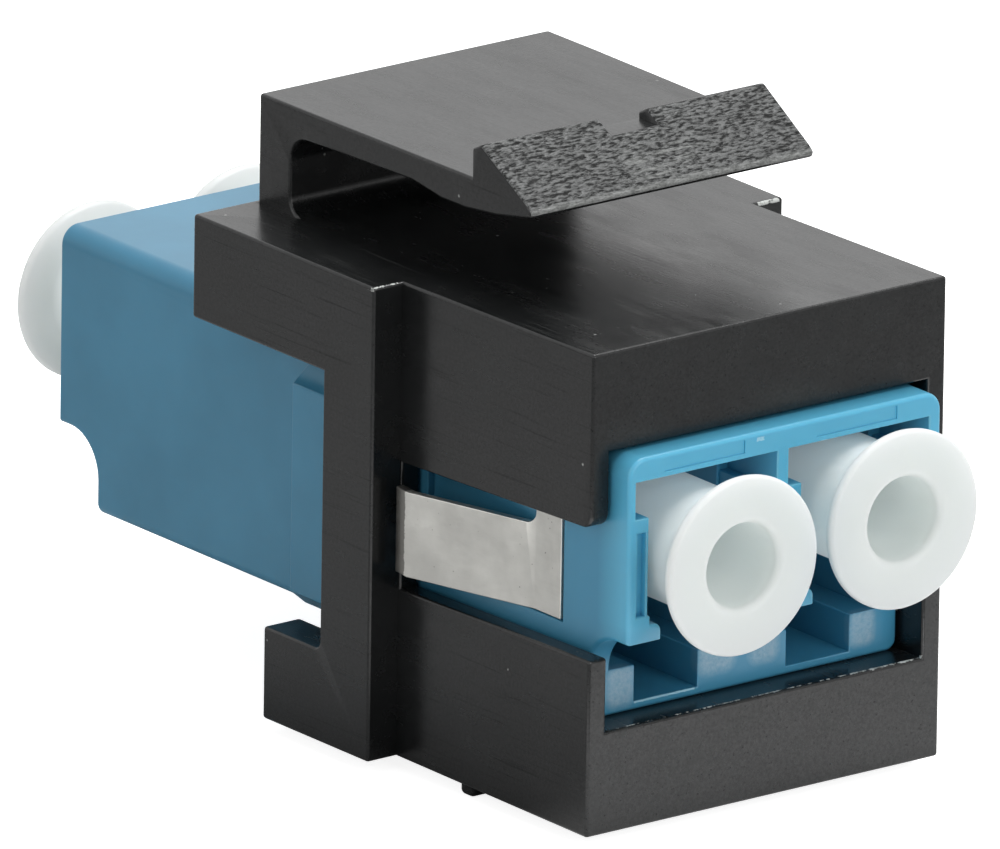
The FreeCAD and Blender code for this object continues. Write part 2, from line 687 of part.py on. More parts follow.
def build_clip():
    """The spring clip: a bent steel band with a tongue leaning out on each side."""
    body = new_body("retaining_clip")
    band_top = BAND_ROOF + size.steel
    staple = (
        (BAND_INNER, size.clip_foot),
        (BAND_OUTER, size.clip_foot),
        (BAND_OUTER, band_top),
        (-BAND_OUTER, band_top),
        (-BAND_OUTER, size.clip_foot),
        (-BAND_INNER, size.clip_foot),
        (-BAND_INNER, BAND_ROOF),
        (BAND_INNER, BAND_ROOF),
    )
    band = draw(body, "BandSketch", "XZ_Plane", [staple], offset=-size.clip_front)
    pad(body, band, size.clip_length, backwards=True)
    fillet(body, "InnerBends", size.clip_bend_radius, {"x": BAND_INNER, "z": BAND_ROOF})
    outer_bend = size.clip_bend_radius + size.steel
    fillet(body, "OuterBends", outer_bend, {"x": BAND_OUTER, "z": band_top})

    band_rear = size.clip_front + size.clip_length
    knee = band_rear + size.tongue_length
    tip = knee + size.tongue_lip
    overlap = size.clip_length / 2
    right = (
        (BAND_INNER, band_rear - overlap),
        (BAND_OUTER, band_rear - overlap),
        (BAND_OUTER, band_rear),
        (BAND_OUTER + size.tongue_spread, knee),
        (BAND_OUTER + size.tongue_spread - size.tongue_lip_turn, tip),
        (BAND_INNER + size.tongue_spread - size.tongue_lip_turn, tip),
        (BAND_INNER + size.tongue_spread, knee),
        (BAND_INNER, band_rear),
    )
    left = tuple((-1 * x, y) for x, y in right)
    tongues = draw(body, "TongueSketch", "XY_Plane", [right, left], offset=size.clip_foot)
    pad(body, tongues, size.tongue_height)
    tongue_top = size.clip_foot + size.tongue_height
    fillet(body, "TongueRoots", size.tongue_root_radius, {"y": band_rear, "z": tongue_top})
    return body


def build_sleeve(name, side):
    """The split ceramic sleeve that lines two ferrules up, captive in the nose tubes."""
    body = new_body(name, side * PORT_OFFSET, JOINT, size.port_height)
    outer_radius = size.ferrule_radius + size.alignment_wall
    rings = [(0.0, 0.0, outer_radius), (0.0, 0.0, size.ferrule_radius)]
    pad(body, draw(body, "RingSketch", "XZ_Plane", circles=rings), size.alignment_length, both=True)
    half_slit = size.alignment_slit / 2
    slit = box(-half_slit, half_slit, 0.0, outer_radius * 2)
    slit_sketch = draw(body, "SlitSketch", "XZ_Plane", [slit])
    pocket(body, slit_sketch, size.alignment_length * 2, both=True)
    return body


def build_plug(name, x, y, z, inwards):
    """A soft dust plug turned about its own axis, its outer face at the body's origin."""
    body = new_body(name, x, y, z)
    tip = inwards * size.plug_length
    socket = inwards * (size.plug_hole_depth + size.plug_web)
    disc = inwards * size.plug_disc_thickness
    flare = inwards * (size.plug_disc_thickness + size.plug_flare)
    half_section = (
        (0.0, size.plug_hole_radius),
        (0.0, size.plug_disc_radius),
        (disc, size.plug_disc_radius),
        (flare, size.plug_barrel_radius),
        (tip, size.plug_barrel_radius),
        (tip, size.plug_socket_radius),
        (socket, size.plug_socket_radius),
        (socket, 0.0),
        (inwards * size.plug_hole_depth, 0.0),
        (inwards * size.plug_hole_depth, size.plug_hole_radius),
    )
    sketch = draw(body, "SectionSketch", "YZ_Plane", [half_section])
    turned = body.newObject("PartDesign::Revolution", "Turned")
    turned.Profile = sketch
    turned.ReferenceAxis = (sketch, ["H_Axis"])
    turned.Angle = 360.0
    sketch.Visibility = False
    chamfer(
        body, "RimEdges", size.plug_rim_chamfer,
        {"y": 0.0, "radius": size.plug_disc_radius},
        {"y": disc, "radius": size.plug_disc_radius},
    )
    chamfer(body, "Mouth", size.plug_mouth_chamfer, {"y": 0.0, "radius": size.plug_hole_radius})
    chamfer(body, "Tip", size.plug_tip_chamfer, {"y": tip, "radius": size.plug_barrel_radius})
    return body


build_housing()
build_shell("adapter_front_shell", -1)
build_shell("adapter_rear_shell", 1)
build_clip()
build_sleeve("alignment_sleeve_left", -1)
build_sleeve("alignment_sleeve_right", 1)

plug_offset = PORT_OFFSET + size.plug_splay
left_height = size.port_height - size.left_plug_sag
right_height = size.port_height + size.right_plug_lift
build_plug("dust_plug_front_left", -plug_offset, FRONT_FACE, left_height, 1)
build_plug("dust_plug_front_right", plug_offset, FRONT_FACE, right_height, 1)
build_plug("dust_plug_rear_left", -PORT_OFFSET, REAR_FACE, size.port_height - size.rear_plug_sag, -1)
build_plug("dust_plug_rear_right", PORT_OFFSET, REAR_FACE, size.port_height, -1)

doc.recompute()

for item in doc.Objects:
    if "Invalid" in item.State or "Error" in item.State:
        raise RuntimeError(f"{item.Name} did not recompute: {item.State}")
for body in bodies:
    if body.Shape.isNull() or not body.Shape.isValid() or len(body.Shape.Solids) != 1:
        raise RuntimeError(f"{body.Label} is not one valid solid")

os.makedirs("parts", exist_ok=True)
for body in bodies:
    body.Shape.exportStep(f"parts/{body.Label}.step")
    reach, volume = body.Shape.BoundBox, body.Shape.Volume
    print(f"{body.Label:26s} volume {volume:9.2f} mm3, Y {reach.YMin:7.2f} to {reach.YMax:6.2f}")
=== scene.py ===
import math

import bpy
from bpy.props import FloatProperty, FloatVectorProperty, IntProperty, PointerProperty
from mathutils import Matrix, Vector


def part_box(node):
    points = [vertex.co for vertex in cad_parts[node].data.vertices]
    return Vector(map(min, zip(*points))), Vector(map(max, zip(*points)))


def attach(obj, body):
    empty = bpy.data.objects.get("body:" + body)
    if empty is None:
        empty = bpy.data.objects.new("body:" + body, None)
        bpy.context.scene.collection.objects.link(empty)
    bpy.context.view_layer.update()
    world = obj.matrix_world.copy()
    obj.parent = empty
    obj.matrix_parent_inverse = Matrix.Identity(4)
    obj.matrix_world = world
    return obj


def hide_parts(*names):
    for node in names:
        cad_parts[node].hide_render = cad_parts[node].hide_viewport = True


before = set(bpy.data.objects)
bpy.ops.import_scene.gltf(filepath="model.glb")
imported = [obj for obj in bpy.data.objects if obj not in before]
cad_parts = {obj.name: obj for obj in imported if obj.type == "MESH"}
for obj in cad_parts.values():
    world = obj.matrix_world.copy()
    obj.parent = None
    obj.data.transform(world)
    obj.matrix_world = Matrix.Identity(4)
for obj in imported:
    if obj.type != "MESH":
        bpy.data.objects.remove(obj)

bl_info = {
    "name": "Keystone LC adapter dresser",
    "version": (1, 0),
    "blender": (4, 5, 0),
    "location": "View3D > Sidebar > Adapter",
    "description": "Finishes for a duplex fibre adapter in a keystone housing",
    "category": "Object",
}

MM = 0.001
FLAT = math.radians(0.6)  # faces that turn less than this are one flat face
SHARP = math.radians(28.0)  # edges that turn more than this are rounded
PORT_X, PORT_Z = 3.125, 9.95  # the optical axes, either side of the middle, in millimetres
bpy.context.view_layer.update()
MAIN_BODY = "adapter"
PLUGS = (
    "dust_plug_front_left",
    "dust_plug_front_right",
    "dust_plug_rear_left",
    "dust_plug_rear_right",
)


# ---------------------------------------------------------------- sizes and colours


class HousingFinish(bpy.types.PropertyGroup):
    """Black moulded housing."""

    edge: FloatProperty(
        name="Edge rounding", description="Radius of the moulding's edges",
        default=0.11 * MM, unit="LENGTH",
    )
    black: FloatVectorProperty(
        name="Black", description="Colour of the moulding", subtype="COLOR",
        default=(0.0074, 0.0080, 0.0082),
    )
    grained: FloatVectorProperty(
        name="Grained tab", description="Colour of the coarse grain on the tab", subtype="COLOR",
        default=(0.095, 0.099, 0.098),
    )
    worn: FloatVectorProperty(
        name="Worn edge", description="Colour of the whitened, drawn edges", subtype="COLOR",
        default=(0.58, 0.60, 0.58),
    )
    roughness: FloatProperty(name="Roughness", description="Satin of the skin", default=0.23)


class BlockFinish(bpy.types.PropertyGroup):
    """Blue moulded adapter block."""

    edge: FloatProperty(
        name="Edge rounding", description="Radius of the block's edges",
        default=0.05 * MM, unit="LENGTH",
    )
    blue: FloatVectorProperty(
        name="Blue", description="Colour of the block", subtype="COLOR",
        default=(0.043, 0.212, 0.340),
    )
    # Painted glow: a lighter blue painted where a thin wall is taken to let light through.
    painted_glow_blue: FloatVectorProperty(
        name="Thin blue", description="Colour where a thin wall lets light through",
        subtype="COLOR", default=(0.105, 0.455, 0.665),
    )
    # Painted highlight: the colour painted on the front edges' rounding.
    pale: FloatVectorProperty(
        name="Pale edge", description="Colour of its lit front edges", subtype="COLOR",
        default=(0.16, 0.50, 0.68),
    )
    roughness: FloatProperty(name="Roughness", description="Satin of the skin", default=0.30)


class ClipFinish(bpy.types.PropertyGroup):
    """Spring steel clip."""

    steel: FloatVectorProperty(
        name="Steel", description="Colour of the strip", subtype="COLOR",
        default=(0.65, 0.645, 0.61),
    )
    roughness: FloatProperty(name="Roughness", description="Dullness of the strip", default=0.40)
    edge: FloatProperty(
        name="Edge rounding", description="Radius of the stamped edges",
        default=0.035 * MM, unit="LENGTH",
    )


class PlugFinish(bpy.types.PropertyGroup):
    """Soft white dust plugs."""

    white: FloatVectorProperty(
        name="White", description="Colour of the polyethylene", subtype="COLOR",
        default=(0.77, 0.81, 0.795),
    )
    glow: FloatProperty(
        name="Translucency", description="How deep light soaks into the plug",
        default=1.5 * MM, unit="LENGTH",
    )
    # Painted glow: strength of the emission painted on the barrel and in the hole.
    barrel_glow: FloatProperty(
        name="Light through", description="Light that comes through the barrel's wall",
        default=0.13,
    )
    rim: FloatProperty(
        name="Rim rounding", description="Radius of the rim's two edges",
        default=0.14 * MM, unit="LENGTH",
    )
    mouth: FloatProperty(
        name="Mouth rounding", description="Radius of the hole's edge",
        default=0.26 * MM, unit="LENGTH",
    )
    steps: IntProperty(name="Steps", description="Steps round a plug", default=96)


class StageLook(bpy.types.PropertyGroup):
    """Floor, lamps and camera."""

    azimuth: FloatProperty(
        name="Azimuth", description="Camera's angle round the part",
        default=math.radians(-38.0), subtype="ANGLE",
    )
    elevation: FloatProperty(
        name="Elevation", description="Camera's angle above the floor",
        default=math.radians(18.09), subtype="ANGLE",
    )
    roll: FloatProperty(
        name="Roll", description="Camera's turn about its own axis",
        default=math.radians(0.871), subtype="ANGLE",
    )
    lens: FloatProperty(name="Lens", description="Focal length in millimetres", default=1296.0)
    distance: FloatProperty(
        name="Distance", description="From the aim to the camera", default=1.166, unit="LENGTH",
    )
    aim: FloatVectorProperty(
        name="Aim", description="Point in the middle of the view", subtype="TRANSLATION",
        default=(-4.78 * MM, -6.6 * MM, 11.87 * MM),
    )
    sky: FloatProperty(name="Sky", description="Brightness of the pale studio", default=0.32)


# ---------------------------------------------------------------- material building


class Recipe:
    """A material written as a short list of nodes."""

    def __init__(self, name):
        self.material = bpy.data.materials.new(name)
        self.material.use_nodes = True
        self.tree = self.material.node_tree
        self.tree.nodes.clear()
        self.end = self.node("ShaderNodeOutputMaterial")
        self.skin = self.node("ShaderNodeBsdfPrincipled")
        self.join(self.skin, "BSDF", self.end, "Surface")
        self.place = self.node("ShaderNodeTexCoord")

    def node(self, kind, **values):
        made = self.tree.nodes.new(kind)
        for name, value in values.items():
            if name in made.inputs:
                made.inputs[name].default_value = value
            else:
                setattr(made, name, value)
        return made

    def join(self, source, output, target, socket):
        self.tree.links.new(source.outputs[output], target.inputs[socket])

    def feed(self, source, socket):
        """Drives one of the skin's own sockets."""
        self.join(*source, self.skin, socket)

    def set(self, **values):
        for name, value in values.items():
            self.skin.inputs[name.replace("_", " ")].default_value = value

    def laid(self, texture, stretch):
        """Lays a texture on the piece's own coordinates."""
        mapping = self.node("ShaderNodeMapping", Scale=stretch)
        self.join(self.place, "Object", mapping, "Vector")
        self.join(mapping, "Vector", texture, "Vector")

    def grain(self, scale, stretch=(1, 1, 1), detail=3.0, roughness=0.55):
        """Noise with `scale` features per metre, longer where the stretch is below 1."""
        noise = self.node("ShaderNodeTexNoise", Scale=scale, Detail=detail, Roughness=roughness)
        self.laid(noise, stretch)
        return noise, "Fac"

    def cells(self, scale, stretch=(1, 1, 1), feature="F1"):
        """Distance to scattered points, `scale` of them per metre."""
        cell = self.node("ShaderNodeTexVoronoi", feature=feature, Scale=scale)
        self.laid(cell, stretch)
        return cell, "Distance"

    def product(self, *factors):
        """The sources and numbers multiplied together."""
        total = factors[0]
        for factor in factors[1:]:
            total = self.maths("MULTIPLY", total, factor)
        return total

    def ramp(self, source, low, high, start=0.0, end=1.0):
        """The source's value stretched from low..high to start..end, and clamped."""
        made = self.node("ShaderNodeMapRange", clamp=True)
        limits = {"From Min": low, "From Max": high, "To Min": start, "To Max": end}
        for name, value in limits.items():
            made.inputs[name].default_value = value
        self.join(*source, made, "Value")
        return made, "Result"

    def blend(self, factor, first, second):
        """A colour between two, each a colour or a node's output."""
        made = self.node("ShaderNodeMix", data_type="RGBA", clamp_factor=True)
        sockets = [s for s in made.inputs if s.type == "RGBA"]
        for socket, value in zip(sockets, (first, second)):
            if isinstance(value[0], bpy.types.Node):
                self.tree.links.new(value[0].outputs[value[1]], socket)
            else:
                socket.default_value = (*value[:3], 1.0)
        self.tree.links.new(factor[0].outputs[factor[1]], made.inputs[0])
        return made, 2

    def maths(self, operation, first, second=None):
        made = self.node("ShaderNodeMath", operation=operation)
        for index, value in enumerate((first, second)):
            if isinstance(value, tuple):
                self.tree.links.new(value[0].outputs[value[1]], made.inputs[index])
            elif value is not None:
                made.inputs[index].default_value = value
        return made, "Value"

    def axis(self, letter, kind="Object"):
        """One coordinate of the place ("Object") or of the face's direction ("Normal")."""
        split = self.node("ShaderNodeSeparateXYZ")
        self.join(self.place, kind, split, "Vector")
        return split, letter

    def near(self, low, high, reach):
        """1 inside a box given in millimetres, falling to 0 at `reach` from it."""
        middle = [(a + b) / 2 * MM for a, b in zip(low, high)]
        half = [(b - a) / 2 * MM for a, b in zip(low, high)]
        source, output = self.place, "Object"
        for operation, operand in (
            ("SUBTRACT", middle), ("ABSOLUTE", None), ("SUBTRACT", half),
            ("MAXIMUM", (0.0, 0.0, 0.0)), ("LENGTH", None),
        ):
            step = self.node("ShaderNodeVectorMath", operation=operation)
            self.join(source, output, step, 0)
            if operand:
                step.inputs[1].default_value = operand
            source, output = step, "Vector"
        return self.ramp((source, "Value"), 0.0, reach * MM, 1.0, 0.0)

    def flecks(self, noise, need, boxes):
        """Ragged marks where the noise, a box's nearness and its own amount reach `need`."""
        total = None
        for low, high, reach, extra in boxes:
            added = self.maths("ADD", noise, self.near(low, high, reach))
            mark = self.ramp(added, need - extra, need - extra + 0.06)
            total = self.maths("MAXIMUM", total, mark) if total else mark
        return total

    def bumps(self, *layers):
        """Stacked bumps, each (height source, depth in metres, strength)."""
        previous = None
        for source, depth, strength in layers:
            bump = self.node("ShaderNodeBump", Strength=strength, Distance=depth)
            self.join(*source, bump, "Height")
            if previous:
                self.join(previous, "Normal", bump, "Normal")
            previous = bump
        self.join(previous, "Normal", self.skin, "Normal")


# Where the black moulding is worn white: low corner, high corner, reach, amount (millimetres)
WORN_EDGES = (
    ((-6.0, -14.6, 3.9), (6.5, -14.5, 3.92), 0.13, 0.08),
    ((3.2, -14.6, 3.9), (6.5, -14.5, 3.94), 0.17, 0.14),
    ((-7.25, -14.6, 16.82), (7.25, -14.55, 16.84), 0.09, 0.04),
    ((-8.42, -4.53, 16.6), (-7.4, -4.45, 16.66), 0.13, 0.10),
    ((-8.42, -4.50, 16.5), (-8.38, -4.2, 16.66), 0.08, 0.04),
    ((7.40, -4.60, 16.52), (8.25, -4.45, 16.66), 0.11, 0.12),
    ((-7.25, -14.6, 13.0), (-7.22, -14.57, 16.8), 0.10, -0.06),
    ((-8.42, -4.53, 1.0), (-8.40, -4.50, 16.5), 0.08, -0.08),
    ((-8.42, -1.8, 13.08), (-8.35, 4.8, 13.12), 0.12, -0.02),
    ((-8.42, 0.9, 0.4), (-8.30, 1.1, 0.45), 0.12, 0.08),
    ((0.55, -8.0, 21.1), (0.75, -7.6, 21.35), 0.10, 0.10),
)


def black_skin(name, colour, worn, roughness):
    """Satin black moulding: drawn lines along it, painted pale on up-facing faces as a painted
    sheen, fine grain, dust and whitened edges.
    """
    r = Recipe(name)
    mottle = r.ramp(r.grain(420.0, detail=4.0), 0.35, 0.68)
    base = r.blend(mottle, colour, tuple(c * 1.3 + 0.001 for c in colour))
    lines = r.grain(11000.0, stretch=(1.0, 0.02, 1.0), detail=2.0, roughness=0.6)
    # Painted sheen: the drawn lines are painted pale grey on up-facing faces only.
    top_sheen = r.ramp(r.axis("Z", "Normal"), 0.55, 0.95)
    drawn = r.product(r.ramp(lines, 0.58, 0.76), r.product(top_sheen, 0.20))
    streaked = r.blend(drawn, base, (0.15, 0.155, 0.15))
    rare = r.ramp(r.grain(310.0, detail=1.0), 0.60, 0.66)
    dust = r.product(r.ramp(r.cells(1300.0), 0.04, 0.09, 1.0, 0.0), rare)
    dusted = r.blend(dust, streaked, (0.34, 0.35, 0.34))
    ragged = r.grain(5200.0, detail=5.0, roughness=0.75)
    white = r.flecks(ragged, 1.52, WORN_EDGES)
    r.feed(r.blend(white, dusted, worn), "Base Color")
    patchy = r.grain(1100.0, stretch=(1.0, 0.25, 1.0), detail=5.0, roughness=0.6)
    satin = r.ramp(patchy, 0.3, 0.7, roughness - 0.05, roughness + 0.08)
    r.feed(r.maths("MAXIMUM", satin, r.product(white, 0.6)), "Roughness")
    r.set(IOR=1.44)
    fine = r.grain(9500.0, detail=3.0, roughness=0.7)
    scratched = r.ramp(lines, 0.60, 0.74, 1.0, 0.62)
    r.feed(r.product(r.ramp(fine, 0.32, 0.68, 0.41, 0.60), scratched), "Specular IOR Level")
    flow = r.grain(900.0, stretch=(1.0, 0.4, 1.0), detail=2.0)
    r.bumps(
        (flow, 0.010 * MM, 0.2), (lines, 0.004 * MM, 0.6), (fine, 0.005 * MM, 0.4),
        (white, 0.02 * MM, 0.6),
    )
    return r.material


# Places on the tab's sloped face for its painted highlights and painted shade: low corner, high
# corner, reach (millimetres)
TAB_HIGHLIGHT_STREAKS = ((-0.8, -8.9, 20.3), (1.8, -8.3, 20.8), 0.7)
TAB_NOSE_HIGHLIGHT = ((-6.0, -9.62, 19.6), (6.0, -9.38, 20.22), 0.12)
TAB_RIDGE_SHADE = ((-6.0, -8.0, 21.50), (6.0, -7.5, 21.62), 0.30)


def tab_skin(name, colour):
    """The tab's sloped face: eroded grain drawn out sideways, with painted highlight streaks in the
    middle, a painted highlight at the nose and painted shade at the ridge."""
    r = Recipe(name)
    waves = r.grain(10500.0, stretch=(0.34, 1.0, 1.0), detail=3.0, roughness=0.62)
    broad = r.grain(2100.0, stretch=(0.5, 1.0, 1.0), detail=2.0)
    leather = r.cells(8500.0, stretch=(0.55, 1.0, 1.0), feature="SMOOTH_F1")
    grit = r.grain(14000.0, detail=3.0, roughness=0.6)
    pit, shade = (tuple(c * share for c in colour) for share in (0.10, 0.25))
    pitted = r.blend(r.ramp(waves, 0.42, 0.58), pit, colour)
    clouded = r.blend(r.product(r.ramp(broad, 0.48, 0.62), 0.35), pitted, shade)
    long_streaks = r.ramp(r.grain(7000.0, stretch=(0.10, 1.0, 1.0), detail=2.0), 0.50, 0.62)
    # Painted highlight: pale streaks in the middle of the slope, near the notch.
    highlight_streaks = r.product(r.near(*TAB_HIGHLIGHT_STREAKS), long_streaks)
    streaked = r.blend(r.product(highlight_streaks, 0.45), clouded, (0.30, 0.31, 0.30))
    # Painted highlight: a pale grainy band along the nose.
    nose_highlight = r.product(r.near(*TAB_NOSE_HIGHLIGHT), r.ramp(grit, 0.30, 0.62, 0.45, 1.0))
    with_nose_highlight = r.blend(r.product(nose_highlight, 0.60), streaked, (0.36, 0.37, 0.36))
    # Painted shade: the ridge's rounded top edge is painted dark.
    ridge_shade = r.ramp(r.maths("ADD", waves, r.near(*TAB_RIDGE_SHADE)), 0.82, 0.98)
    r.feed(r.blend(r.product(ridge_shade, 0.85), with_nose_highlight, pit), "Base Color")
    r.feed(r.ramp(grit, 0.3, 0.7, 0.30, 0.46), "Roughness")
    r.set(IOR=1.48)
    sheen = r.product(r.ramp(waves, 0.40, 0.60, 0.08, 0.62), r.ramp(ridge_shade, 0.0, 1.0, 1.0, 0.25))
    r.feed(sheen, "Specular IOR Level")
    r.bumps((waves, 0.075 * MM, 1.0), (leather, 0.03 * MM, 0.6), (grit, 0.012 * MM, 0.8))
    return r.material


# Painted highlights on the block's lower faces, grained like scuffs (low corner, high corner,
# reach), then painted highlights along its slot edges (the same and an amount), all in millimetres
FOOT_HIGHLIGHT_PATCHES = (
    ((-5.20, -13.45, 4.45), (-4.80, -13.35, 5.15), 0.50),
    ((-1.40, -13.45, 4.95), (-0.70, -13.35, 6.10), 0.60),
    ((0.65, -13.45, 4.90), (1.10, -13.35, 6.10), 0.55),
    ((4.75, -13.45, 4.60), (5.15, -13.35, 5.20), 0.45),
)
EDGE_HIGHLIGHT_LINES = (
    ((-4.40, -13.45, 4.16), (-1.95, -13.38, 4.20), 0.06, 0.42),
    ((1.86, -13.45, 4.22), (4.40, -13.38, 4.26), 0.06, 0.46),
    ((4.50, -13.45, 5.47), (5.60, -13.38, 5.51), 0.05, 0.40),
    ((1.84, -13.45, 4.60), (1.95, -13.38, 4.95), 0.05, 0.30),
    ((-1.2, -15.55, 13.00), (-0.9, -15.42, 13.12), 0.10, 0.10),
    ((1.4, -15.55, 12.48), (1.7, -15.42, 12.52), 0.08, 0.14),
)


# The shallow marks above the ports, too fine to take a rounded edge, in millimetres
SHALLOW_MARKS = (
    ((-5.3, -15.6, 12.6), (5.3, -15.3, 13.14)),
    ((-5.3, 14.7, 12.6), (5.3, 15.0, 13.14)),
)


def blue_skin(name, look):
    """Satin blue moulding: faint flow clouds, a painted glow on the front frame's thin upper walls,
    and painted highlights, grained like scuffs, at the feet and along slot edges.
    """
    r = Recipe(name)
    darker = tuple(c * 0.93 for c in look.blue)
    lighter = tuple(min(1.0, c * 1.07 + 0.004) for c in look.blue)
    base = r.blend(r.ramp(r.grain(210.0, detail=3.0), 0.35, 0.65), darker, lighter)
    # Painted glow: the front frame's upper part is blended to the lighter blue; the base is also
    # lighter towards the front end.
    front = r.ramp(r.axis("Y"), -15.15 * MM, -13.9 * MM, 1.0, 0.0)
    upper = r.ramp(r.axis("Z"), 6.4 * MM, 7.6 * MM)
    near_front = r.product(r.ramp(r.axis("Y"), -13.0 * MM, -8.0 * MM, 1.0, 0.0), 0.6)
    brighter = r.blend(near_front, base, tuple(c * 1.45 for c in look.blue))
    with_painted_glow = r.blend(r.product(front, upper), brighter, tuple(look.painted_glow_blue))
    # Painted highlights: pale patches on the feet's front faces and bright lines along the slot
    # edges, broken up by a fine grain that also bumps the patches.
    highlight_grain = r.grain(7000.0, detail=4.0, roughness=0.7)
    highlight_patches = None
    for place in FOOT_HIGHLIGHT_PATCHES:
        highlight_patch = r.ramp(r.near(*place), 0.05, 0.65)
        highlight_patches = r.maths("MAXIMUM", highlight_patches, highlight_patch) if highlight_patches else highlight_patch
    pale = r.product(highlight_patches, r.ramp(highlight_grain, 0.30, 0.66, 0.45, 1.0))
    with_foot_highlights = r.blend(r.product(pale, 0.75), with_painted_glow, (0.34, 0.48, 0.57))
    edge_highlights = r.flecks(highlight_grain, 1.52, EDGE_HIGHLIGHT_LINES)
    r.feed(r.blend(r.product(edge_highlights, 0.8), with_foot_highlights, (0.38, 0.66, 0.78)), "Base Color")
    r.set(Roughness=look.roughness, IOR=1.48)
    r.set(Subsurface_Weight=0.25, Subsurface_Radius=(0.3, 0.8, 1.0), Subsurface_Scale=0.45 * MM)
    drawn = r.grain(5200.0, stretch=(1.0, 0.05, 1.0), detail=3.0)
    r.bumps(
        (r.grain(1300.0, detail=2.0), 0.008 * MM, 0.25), (drawn, 0.003 * MM, 0.25),
        (r.grain(19000.0, detail=2.0), 0.003 * MM, 0.3), (pale, 0.03 * MM, 0.5),
    )
    return r.material


def edge_highlight_skin(name, look):
    """Painted highlight for the block's front edges: a pale blue mixed with the painted glow blue.
    """
    r = Recipe(name)
    between = tuple((a + b) / 2 for a, b in zip(look.painted_glow_blue, look.pale))
    clouds = r.ramp(r.grain(1900.0, detail=4.0), 0.38, 0.60)
    r.feed(r.blend(clouds, between, tuple(look.pale)), "Base Color")
    r.set(Roughness=0.25, IOR=1.48)
    r.bumps((r.grain(20000.0, detail=2.0), 0.004 * MM, 0.3))
    return r.material


# Where painted shade darkens the clip's turned-in ends: low corner, high corner, reach, amount
SHADED_CLIP_ENDS = (((-9.0, -5.50, 4.0), (-6.0, -4.00, 13.0), 0.25, 0.30),)


def steel_skin(name, steel, roughness):
    """Dull rolled strip: fine lines along its length, stains, pits, and painted shade on the
    turned-in end.
    """
    r = Recipe(name)
    rolled = r.grain(9000.0, stretch=(1.0, 0.06, 1.0), detail=3.0)
    stains = r.ramp(r.grain(700.0, detail=4.0), 0.35, 0.7)
    stained = r.blend(stains, tuple(c * 0.80 for c in steel), steel)
    sparse = r.ramp(r.grain(1500.0, detail=1.0), 0.55, 0.62)
    pits = r.product(r.ramp(r.cells(4200.0), 0.05, 0.12, 1.0, 0.0), sparse)
    pitted = r.blend(pits, stained, (0.16, 0.15, 0.14))
    # Painted shade: the turned-in end is painted dark in ragged flecks.
    end_shade = r.flecks(r.grain(4200.0, detail=5.0, roughness=0.7), 1.50, SHADED_CLIP_ENDS)
    r.feed(r.blend(r.product(end_shade, 0.85), pitted, (0.13, 0.125, 0.115)), "Base Color")
    r.feed(r.ramp(rolled, 0.3, 0.7, roughness - 0.08, roughness + 0.10), "Roughness")
    r.set(Metallic=1.0)
    r.bumps((r.grain(1600.0, detail=3.0), 0.012 * MM, 0.3), (rolled, 0.004 * MM, 0.4))
    return r.material


def milky_skin(name, white, depth, barrel_glow):
    """Translucent white polyethylene with a soft sheen; an emission paints a glow on its thin
    barrel and, weaker, in its hole.
    """
    r = Recipe(name)
    clouds = r.ramp(r.grain(260.0, detail=2.0), 0.35, 0.65)
    r.feed(r.blend(clouds, tuple(c * 0.975 for c in white), tuple(white)), "Base Color")
    r.set(Roughness=0.42, IOR=1.48)
    r.set(Subsurface_Weight=0.8, Subsurface_Radius=(1.0, 1.0, 0.95), Subsurface_Scale=depth)
    # 1 on a plug's own axis, 0.45 in its hole, 0.20 at its barrel and 0 from 2.6 mm outwards
    nearness = r.maths("MAXIMUM", *(
        r.near((x, -18.0, PORT_Z), (x, 18.0, PORT_Z), 2.6) for x in (-PORT_X, PORT_X)
    ))
    # Painted glow: emission on the barrel and, at a little over half strength, in the hole, behind
    # the rim only.
    glow_share = r.product(r.ramp(nearness, 0.12, 0.18), r.ramp(nearness, 0.30, 0.36, 1.0, 0.55))
    behind_rim = r.ramp(r.maths("ABSOLUTE", r.axis("Y")), 17.15 * MM, 17.45 * MM, 1.0, 0.0)
    r.set(Emission_Color=(0.93, 1.0, 1.0, 1.0))
    r.feed(r.product(glow_share, behind_rim, barrel_glow), "Emission Strength")
    r.bumps(
        (r.grain(900.0, detail=2.0), 0.010 * MM, 0.15),
        (r.grain(16000.0, detail=2.0), 0.002 * MM, 0.25),
    )
    return r.material


def ceramic_skin(name):
    """Polished zirconia."""
    r = Recipe(name)
    clouds = r.ramp(r.grain(600.0), 0.4, 0.6)
    r.feed(r.blend(clouds, (0.74, 0.74, 0.72), (0.80, 0.80, 0.78)), "Base Color")
    r.set(Roughness=0.16, IOR=1.9)
    r.bumps((r.grain(30000.0, detail=2.0), 0.001 * MM, 0.2))
    return r.material


# ---------------------------------------------------------------- shaping helpers


def pick_only(piece):
    """Deselects everything else and makes the piece active."""
    if bpy.context.object and bpy.context.object.mode != "OBJECT":
        bpy.ops.object.mode_set(mode="OBJECT")
    bpy.ops.object.select_all(action="DESELECT")
    piece.hide_viewport = False
    piece.select_set(True)
    bpy.context.view_layer.objects.active = piece


